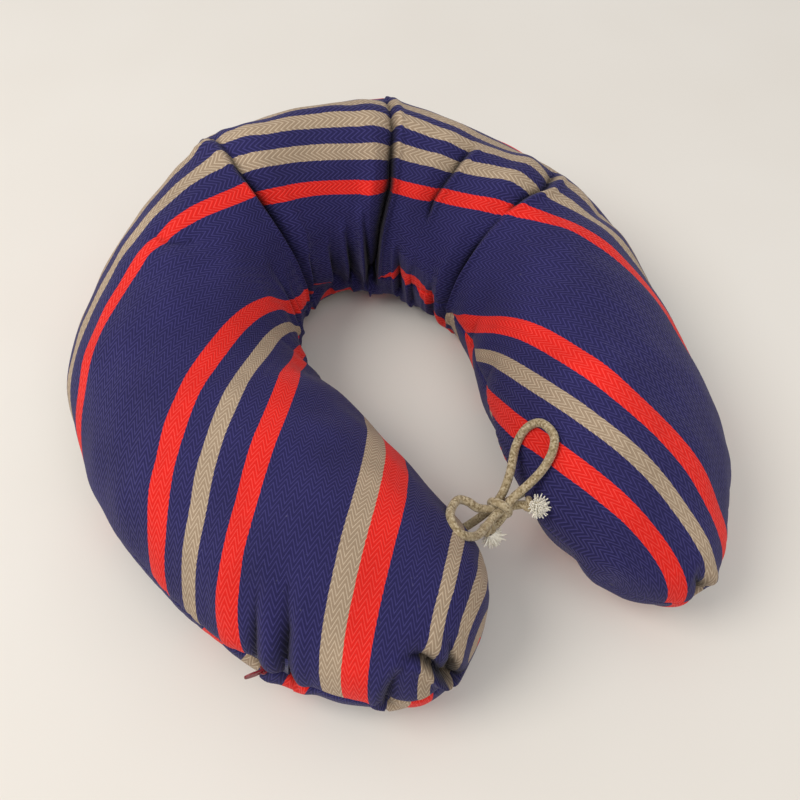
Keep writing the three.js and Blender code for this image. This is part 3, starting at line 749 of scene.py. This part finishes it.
# ---------- the tie cords and their bow ----------
CORD_DIAMETER = 4.8 * MM
LEFT_CORD = [
    (-16.3, -100.4, 40.6), (-12.3, -100.8, 41.4), (-3.6, -101.8, 47), (3.4, -101.4, 51.4),
    (9.7, -99.4, 56.4), (17.8, -93.4, 61.3), (28.2, -83.3, 64.3), (35.8, -80.7, 72.3), (41.1, -85, 79.5),
    (41.4, -95.3, 82.1), (36.8, -101.7, 79), (29.9, -104.8, 71.6), (21, -106, 65.1), (8.9, -106.9, 59.5),
    (3.6, -109.6, 53.6), (-1.4, -110.6, 49), (-3.6, -110.8, 49.8), (-6.2, -111.2, 50.9),
]
RIGHT_CORD = [
    (23.7, -99.8, 40.6), (19.4, -100.2, 41.5), (11.4, -102.6, 47.8), (4.8, -104.8, 52.4),
    (-2.2, -104.6, 56.6), (-9, -101.9, 60.8), (-12.5, -98.1, 64.8), (-17.3, -95.4, 67.6), (-24.8, -99.9, 72),
    (-29.4, -107.3, 76), (-28.2, -114.8, 74.2), (-20.2, -116.8, 67), (-10, -112.6, 60.8),
    (-2.1, -109.1, 57.5), (4.4, -107.6, 54.8), (10.6, -108.2, 53.2), (13.2, -109.6, 54), (15.4, -111.2, 54.8),
]
WRAP_MIDDLE = np.array([3.2, -105.6, 54.7]) * MM
WRAP_AXIS, WRAP_UP = (0.80, 0.56, 0.12), (-0.30, -0.25, 1.0)  # the ring's axis, and roughly up in its plane
WRAP_RADII = (5.5 * MM, 5.2 * MM)
WRAP_TURNS = np.linspace(-0.12, 1.14, 28)  # the ring overlaps itself a little
WRAP_DRIFT = 3.0 * MM  # along its axis in a full turn
STOPPERS = {"left": np.array([17.4, -112.6, 55.6]) * MM, "right": np.array([-8.4, -111.6, 51.8]) * MM}
STOPPER_SCALE, STOPPER_CORD = 1.0 * MM, 3.7 * MM  # the cord is pulled thinner in the knot
TREFOIL_SWING, TREFOIL_HEIGHT = 1.7, 1.5
WRAP_CORD = CORD_DIAMETER * 0.98
BRAID_STRANDS, BRAID_SIDES, BRAID_SPACING = 20, 80, 0.26 * MM
BRAID_PITCH = 13 * MM  # a strand's turn round the cord
BRAID_DEPTH = 0.24 * MM
TUFT_DIRECTIONS = {"left": (1.6, -6.4, 6.0), "right": (2.2, -3.4, -9.0)}
TUFT_STRANDS, TUFT_TURN = 170, 2.4  # the turn, in radians, from each strand to the next
TUFT_ROOT, TUFT_RADIUS, STRAND_RADIUS = 3.3 * MM, 1.9 * MM, 0.5 * MM


def braid(path, diameter):
    """A braided cord of two sets of strands: its line, its rings, and each point's place in the braid."""
    line = resample(path, BRAID_SPACING)
    reach = reach_along(line)[:, None]
    turn = (np.arange(BRAID_SIDES) / BRAID_SIDES)[None, :]
    one = turn * BRAID_STRANDS / 2 + reach / BRAID_PITCH * BRAID_STRANDS / 2
    other = turn * BRAID_STRANDS / 2 - reach / BRAID_PITCH * BRAID_STRANDS / 2
    over = np.sin(math.pi * (one + other)) * np.sin(math.pi * (one - other))
    ridge_one = np.abs(np.sin(math.pi * one)) * (0.5 + 0.5 * over)
    ridge_other = np.abs(np.sin(math.pi * other)) * (0.5 - 0.5 * over)
    radius = diameter / 2 - BRAID_DEPTH * (1 - np.maximum(ridge_one, ridge_other))
    place = np.stack(np.broadcast_arrays(one, other, 0.0), -1)
    return line, tube_points(line, radius, BRAID_SIDES), place


def braided_piece(name, path, diameter, stands_for, round_ends=0.0):
    """A braided cord along a path, with rounded ends where they show, and the line that it follows."""
    line, rings, place = braid(path, diameter)
    if round_ends:
        steps = np.arange(len(line))
        ends = np.minimum(steps, steps[::-1]) * reach_along(line)[-1] / len(line)
        taper = np.sqrt(np.clip(1 - (1 - np.clip(ends / round_ends, 0, 1)) ** 2, 0.02, 1))
        rings = line[:, None] + (rings - line[:, None]) * taper[:, None, None]
    return make_mesh(name, rings, tube_faces(*rings.shape[:2]), "tie_cord", stands_for, braid=place), line


def knot_wrap():
    """The turn of cord round the bow's middle: a ring round the crossing strands, its ends tucked inside."""
    axis = unit(np.array(WRAP_AXIS))
    up = unit(np.array(WRAP_UP) - axis * np.dot(WRAP_UP, axis))
    back = np.cross(axis, up)
    points = []
    for turn in WRAP_TURNS:
        angle = 2 * math.pi * turn - 0.5 * math.pi
        tuck = 1 - 0.45 * max(0, abs(turn - 0.5) - 0.45) / 0.2
        ring = up * WRAP_RADII[0] * math.sin(angle) + back * WRAP_RADII[1] * math.cos(angle)
        points.append(WRAP_MIDDLE + axis * (turn - 0.5) * WRAP_DRIFT + ring * tuck)
    return braided_piece("bow_knot_wrap", points, WRAP_CORD, ["bow_knot"], 1.6 * MM)[0]


def tuft_axes(side):
    """The direction that a cord's frayed end points in, and two directions square to it."""
    axis = unit(np.array(TUFT_DIRECTIONS[side]))
    first = unit(np.cross(axis, (0.3, 0.2, 1.0)))
    return axis, first, np.cross(axis, first)


def overhand(side):
    """A stopper knot: the cord's end tied round itself, pulled tight. Its path is a trefoil."""
    axis, first, second = tuft_axes(side)
    turn = np.linspace(0.06, 1.94 * math.pi, 40)
    x = np.sin(turn) + TREFOIL_SWING * np.sin(2 * turn)
    y = np.cos(turn) - TREFOIL_SWING * np.cos(2 * turn)
    z = -TREFOIL_HEIGHT * np.sin(3 * turn)
    points = STOPPERS[side] + (np.outer(x, first) + np.outer(y, second) + np.outer(z, axis)) * STOPPER_SCALE
    name, nodes = f"stopper_knot_tied_{side}", [f"stopper_knot_{side}"]
    return braided_piece(name, points, STOPPER_CORD, nodes, 1.2 * MM)[0]


def frayed_end(side):
    """The cord's core brushed out past its stopper knot: short cotton strands that flare and curl."""
    axis, first, second = tuft_axes(side)
    root = STOPPERS[side] + axis * TUFT_ROOT
    points, faces = [], []
    sides, steps = 6, 9
    for k in range(TUFT_STRANDS):
        turn = TUFT_TURN * k
        spread = math.sqrt((k + 0.5) / TUFT_STRANDS)
        lean = spread * rng.uniform(0.65, 1.15)
        length = rng.uniform(6.4, 9.4) * MM * (1 - 0.18 * spread)
        spoke = first * math.cos(turn) + second * math.sin(turn)
        curl = unit(rng.normal(size=3)) * rng.uniform(0.3, 1.2) * MM
        t = np.linspace(0, 1, steps)[:, None]
        path = root + spoke * TUFT_RADIUS * spread + axis * length * t * (1 - 0.35 * lean * t)
        path += spoke * length * lean * 0.75 * t ** 1.6 + curl * t ** 2
        radius = STRAND_RADIUS * np.linspace(1.0, 0.7, steps) * rng.uniform(0.8, 1.25)
        faces += tube_faces(steps, sides, start=k * steps * sides)
        points.append(tube_points(path, radius, sides))
    return make_mesh(f"frayed_tuft_{side}", np.array(points), faces, "frayed_cotton", [f"frayed_end_{side}"])


def tie_cords():
    """Each cord crosses through the knot, so it makes the loop and the tail of the other side."""
    wrap = knot_wrap()
    ties = (("left", "right", LEFT_CORD, [wrap]), ("right", "left", RIGHT_CORD, []))
    for side, other, route, pieces in ties:
        points = np.array(route) * MM
        nodes = [f"tie_cord_{side}_lead", f"tie_cord_{other}_loop", f"tie_cord_{other}_tail"]
        cord, line = braided_piece(f"tie_cord_{side}", points, CORD_DIAMETER, nodes)
        stopper = overhand(other)
        tuft = frayed_end(other)


# ---------- materials ----------
class Nodes:
    """A material's nodes, made and joined by short calls."""

    def __init__(self, name):
        self.material = bpy.data.materials.new(name)
        self.material.use_nodes = True
        self.tree = self.material.node_tree
        self.shader = self.tree.nodes["Principled BSDF"]

    def add(self, kind, values=(), **settings):
        node = self.tree.nodes.new(kind)
        for key, value in settings.items():
            setattr(node, key, value)
        for key, value in dict(values).items():
            self.put(node, key, value)
        return node

    def put(self, node, key, value):
        if isinstance(value, bpy.types.NodeSocket):
            self.tree.links.new(value, node.inputs[key])
        else:
            node.inputs[key].default_value = value

    def math(self, operation, *values):
        node = self.add("ShaderNodeMath", enumerate(values), operation=operation)
        return node.outputs[0]

    def mix(self, factor, one, other, blend="MIX"):
        node = self.add("ShaderNodeMix", {"Factor": factor}, data_type="RGBA", blend_type=blend)
        for index, value in ((6, one), (7, other)):
            self.put(node, index, value)
        return node.outputs[2]

    def attribute(self, name):
        return self.add("ShaderNodeAttribute", attribute_name=name).outputs["Vector"]

    def split(self, vector):
        return self.add("ShaderNodeSeparateXYZ", {0: vector}).outputs

    def here(self):
        return self.add("ShaderNodeTexCoord").outputs["Object"]

    def noise(self, scale, detail=3.0, roughness=0.55, vector=None):
        values = {"Vector": vector or self.here(), "Scale": scale, "Detail": detail, "Roughness": roughness}
        return self.add("ShaderNodeTexNoise", values).outputs["Fac"]

    def ramp(self, factor, stops, interpolation="LINEAR"):
        node = self.add("ShaderNodeValToRGB", {"Fac": factor})
        ramp = node.color_ramp
        ramp.interpolation = interpolation
        while len(ramp.elements) < len(stops):
            ramp.elements.new(0.5)
        for element, (position, colour) in zip(ramp.elements, stops):
            element.position = position
            element.color = (*colour[:3], 1)
        return node.outputs["Color"]

    def bump(self, height, distance, strength):
        values = {"Height": height, "Distance": distance, "Strength": strength}
        node = self.add("ShaderNodeBump", values)
        self.tree.links.new(node.outputs[0], self.shader.inputs["Normal"])

    def finish(self, **values):
        names = {"color": "Base Color", "sheen": "Sheen Weight", "coat": "Coat Weight",
                 "specular": "Specular IOR Level"}
        for key, value in values.items():
            self.put(self.shader, names.get(key, key.replace("_", " ").title()), value)
        return self.material


def grey(value):
    return (value, value, value, 1)


NAVY, RED, TAUPE = "navy", "red", "taupe"
YARNS_WITH_PAINTED_LIGHT = {  # colours in the weave's hollows and on its ridges: the yarns' own, with painted shade and painted highlight
    NAVY: ((0.0160, 0.0140, 0.073), (0.047, 0.042, 0.165)),
    RED: ((0.66, 0.013, 0.008), (0.90, 0.058, 0.046)),
    TAUPE: ((0.315, 0.232, 0.159), (0.57, 0.455, 0.333)),
}
# Where each stripe starts across the cloth, in millimetres, and its colour.
STRIPES = [
    (-400, NAVY), (-310, RED), (-297, TAUPE), (-285, NAVY), (-274, TAUPE), (-266, NAVY), (-256, TAUPE),
    (-248, NAVY), (-222, RED), (-209, TAUPE), (-197, NAVY), (-152, RED), (-140, NAVY), (-128, TAUPE),
    (-117, NAVY), (-105, RED), (-93, NAVY), (-36, RED), (-28, NAVY), (-20, TAUPE), (-13, NAVY), (-6, TAUPE),
    (1, NAVY), (7, TAUPE), (14, NAVY), (20, RED), (28, NAVY), (74, RED), (86, TAUPE), (97, NAVY),
]
STRIPE_SPAN = (-400, 200)
TWILL_COLUMN = 2.9 * MM  # width of one arm of the herringbone
TWILL_SLOPE = 1.98  # along the stripes for each step across
TWILL_PITCH = 3.35 * MM  # along the stripes, from one line to the next


def striped_cloth():
    """Herringbone in stripes, a little worn and flecked with dust, with shade painted where its folds are
    closed.
    """
    n = Nodes("striped_herringbone")
    weave = n.attribute("weave")
    across, along, stripe = n.split(weave)
    wander = n.noise(700.0, 2.0, vector=weave)
    fuzzy = n.math("ADD", stripe, n.math("MULTIPLY", n.math("SUBTRACT", wander, 0.5), 0.9 * MM))
    low, high = (edge * MM for edge in STRIPE_SPAN)
    share = n.math("DIVIDE", n.math("SUBTRACT", fuzzy, low), high - low)
    shades = []
    for yarn in (0, 1):
        stops = [((start * MM - low) / (high - low), YARNS_WITH_PAINTED_LIGHT[colour][yarn]) for start, colour in STRIPES]
        shades.append(n.ramp(share, stops, "CONSTANT"))
    zigzag = n.math("PINGPONG", across, TWILL_COLUMN)
    climb = n.math("ADD", along, n.math("MULTIPLY", zigzag, TWILL_SLOPE))
    wave = n.math("SINE", n.math("MULTIPLY", climb, 2 * math.pi / TWILL_PITCH))
    ridge = n.math("MULTIPLY_ADD", wave, 0.5, 0.5)
    sharp = n.math("POWER", ridge, 3.4)
    yarn_noise = n.noise(2600.0, 3.0, 0.7, weave)
    # The ridges take the lighter colour and the hollows the darker: partly the yarns' own colours, partly
    # painted highlight and shade.
    ridge_yarn_and_highlight = n.math("MULTIPLY", sharp, n.math("MULTIPLY_ADD", yarn_noise, 0.6, 0.7))
    cloth = n.mix(ridge_yarn_and_highlight, shades[0], shades[1])
    patch = n.noise(22.0, 4.0)
    worn = n.mix(1.0, cloth, n.ramp(patch, [(0.3, grey(0.86)), (0.7, grey(1.12))]), "MULTIPLY")
    lint = n.noise(420.0, 2.0, 0.8)
    dust_and_painted_light = n.mix(n.ramp(lint, [(0.68, grey(0)), (0.86, grey(0.2))]), worn, (0.36, 0.34, 0.40, 1))
    # Painted shade: the colour is darkened where the folds are closed, since little light gets into them.
    crevice, _, _ = n.split(n.attribute("crevice"))
    painted_fold_shade = n.ramp(crevice, [(0.08, grey(1)), (0.5, grey(0.2)), (0.8, grey(0.02))])
    dust_and_painted_light = n.mix(1.0, dust_and_painted_light, painted_fold_shade, "MULTIPLY")
    n.bump(n.math("MULTIPLY_ADD", yarn_noise, 0.35, sharp), 0.26 * MM, 0.85)
    roughness = n.math("MULTIPLY_ADD", yarn_noise, 0.16, 0.74)
    return n.finish(color=dust_and_painted_light, roughness=roughness, sheen=0.12, sheen_roughness=0.4,
                    sheen_tint=(0.8, 0.74, 0.8, 1), specular=0.16)


def braided_cotton():
    """Each visible piece of a strand has its own shade, from the number of the crossing that it lies in."""
    n = Nodes("braided_cotton")
    one, other, _ = n.split(n.attribute("braid"))
    crossing = {0: n.math("FLOOR", one), 1: n.math("FLOOR", other)}
    strand = n.add("ShaderNodeCombineXYZ", crossing).outputs[0]
    fleck = n.add("ShaderNodeTexWhiteNoise", {"Vector": strand}, noise_dimensions="3D").outputs["Value"]
    fuzz = n.noise(2400.0, 3.0, 0.7)
    blotch = n.noise(900.0, 2.0)
    ply = n.ramp(fleck, [(0.0, (0.20, 0.145, 0.070)), (0.25, (0.32, 0.245, 0.140)),
                         (0.6, (0.42, 0.335, 0.205)), (1.0, (0.56, 0.47, 0.32))])
    speck = n.mix(n.ramp(blotch, [(0.50, grey(0)), (0.70, grey(0.4))]), ply, (0.24, 0.175, 0.085, 1))
    shaded = n.mix(1.0, speck, n.ramp(fuzz, [(0.25, grey(0.66)), (0.75, grey(1.2))]), "MULTIPLY")
    n.bump(fuzz, 0.12 * MM, 0.9)
    return n.finish(color=shaded, roughness=0.85, sheen=0.25, sheen_roughness=0.5, specular=0.2)


def fibres(name, scale, depth, low, high):
    """The sewing thread, the filling and the frayed cord ends."""
    n = Nodes(name)
    grain = n.noise(scale, 4.0, 0.65)
    colour = n.ramp(grain, [(0.3, low), (0.7, high)])
    n.bump(grain, depth, 0.8)
    return n.finish(color=colour, roughness=0.9, sheen=0.3, sheen_roughness=0.5, specular=0.2)


def plain_weave(name, low, high, pitch):
    """A plain woven cloth or tape: yarns over and under in both directions."""
    n = Nodes(name)
    x, y, _ = n.split(n.here())
    waves = [n.math("SINE", n.math("MULTIPLY", way, 2 * math.pi / pitch)) for way in (x, y)]
    check = n.math("MULTIPLY_ADD", n.math("MULTIPLY", *waves), 0.5, 0.5)
    fuzz = n.noise(1500.0, 3.0)
    height = n.math("MULTIPLY_ADD", fuzz, 0.4, check)
    n.bump(height, 0.2 * MM, 0.7)
    # Painted shade: the colour is darker in the weave's hollows and lighter where its yarns stand high, with
    # random fuzz tone.
    colour = n.ramp(n.math("MULTIPLY", height, 0.7), [(0.2, low), (0.8, high)])
    return n.finish(color=colour, roughness=0.86, sheen=0.2, sheen_roughness=0.5, specular=0.25)


def enamelled_metal():
    """Burgundy enamel with a few tiny chips down to the metal, for the zip's slider and pull."""
    n = Nodes("enamelled_metal")
    wear = n.noise(1300.0, 4.0, 0.7)
    chips = n.ramp(wear, [(0.69, grey(0)), (0.72, grey(1))])
    colour = n.mix(chips, (0.175, 0.0072, 0.0150, 1), (0.42, 0.40, 0.38, 1))
    n.bump(n.noise(700.0, 2.0), 0.03 * MM, 0.4)
    return n.finish(color=colour, roughness=n.math("MULTIPLY_ADD", wear, 0.25, 0.3), metallic=0.1,
                    coat=0.12, coat_roughness=0.2, specular=0.3)


def moulded_nylon():
    """Smooth navy plastic, for the zip's coils and stops."""
    n = Nodes("moulded_nylon")
    grain = n.noise(1800.0, 3.0)
    colour = n.ramp(grain, [(0.3, (0.012, 0.011, 0.060)), (0.7, (0.028, 0.026, 0.110))])
    n.bump(grain, 0.04 * MM, 0.5)
    return n.finish(color=colour, roughness=n.math("MULTIPLY_ADD", grain, 0.2, 0.28), specular=0.5)


def make_materials():
    """Every material by the slot of its pieces."""
    return {
        "cover_cloth": striped_cloth(),
        "tie_cord": braided_cotton(),
        "frayed_cotton": fibres("frayed_cotton", 1600.0, 0.1 * MM, (0.84, 0.79, 0.66), (0.98, 0.95, 0.87)),
        "casing_cloth": plain_weave("casing_cotton", (0.60, 0.58, 0.54), (0.82, 0.80, 0.76), 1.1 * MM),
        "fibre_filling": fibres("polyester_fibre", 260.0, 1.5 * MM, (0.70, 0.69, 0.66), (0.90, 0.89, 0.87)),
        "sewing_thread": fibres("sewing_thread", 3000, 0.05 * MM, (0.014, 0.012, 0.06), (0.04, 0.036, 0.15)),
        "zip_tape": plain_weave("zip_tape", (0.011, 0.010, 0.055), (0.035, 0.032, 0.13), 0.8 * MM),
        "zip_coil": moulded_nylon(),
        "zip_metal": enamelled_metal(),
    }


# ---------- stage ----------
FLOOR_SIZE = 6.0
LIGHTS_AIM = Vector((0, 0, 0.04))
LIGHTS = (  # name, place, size, power, colour
    ("window", (-0.85, 0.22, 1.25), 0.8, 10.6, (1.0, 0.955, 0.895)),
    ("fill", (0.1, -0.9, 1.8), 1.2, 5.0, (1.0, 0.98, 0.95)),
)
SKY_COLOUR, SKY_STRENGTH = (1.0, 0.985, 0.965, 1), 0.70


def make_stage():
    """A plain pale floor, a soft light from the left of the view, a weaker one from the front, and a sky."""
    n = Nodes("pale_floor")
    tone = n.noise(5.0, 2.0)
    colour = n.ramp(tone, [(0.3, (0.73, 0.70, 0.655)), (0.7, (0.755, 0.73, 0.69))])
    mesh = bpy.data.meshes.new("floor")
    half = FLOOR_SIZE / 2
    corners = [(-half, -half, 0), (half, -half, 0), (half, half, 0), (-half, half, 0)]
    mesh.from_pydata(corners, [], [(0, 1, 2, 3)])
    mesh.materials.append(n.finish(color=colour, roughness=0.9, specular=0.1))
    floor = add_object("floor", mesh)
    for name, place, size, power, colour in LIGHTS:
        data = bpy.data.lights.new(name, "AREA")
        data.shape, data.size, data.energy, data.color = "DISK", size, power, colour
        light = add_object(name, data)
        light.location = place
        light.rotation_mode = "QUATERNION"
        light.rotation_quaternion = (LIGHTS_AIM - Vector(place)).to_track_quat("-Z", "Y")
    world = bpy.data.worlds.new("studio")
    world.use_nodes = True
    sky = world.node_tree.nodes["Background"]
    sky.inputs[0].default_value = SKY_COLOUR
    sky.inputs[1].default_value = SKY_STRENGTH
    bpy.context.scene.world = world
    bpy.context.scene.view_settings.view_transform = "Standard"


# ---------- making it ----------
def main():
    make_camera()
    MATERIALS.update(make_materials())
    tie_cords()
    shapes = cover_faces()
    cover_panel("cover_top_panel", CROWN, shapes[CROWN])
    cover_panel("cover_bottom_panel", BELLY, shapes[BELLY])
    inside_pieces(shapes)
    seam_thread(shapes[CROWN])
    zip_pieces()
    for end in ("closed", "open"):
        finish_cad_node(f"zip_stop_{end}_end", "zip_coil", 0.12 * MM)
    finish_cad_node("zip_slider", "zip_metal", 0.15 * MM)
    finish_cad_node("zip_pull_tab", "zip_metal", 0.18 * MM)
    make_stage()


main()
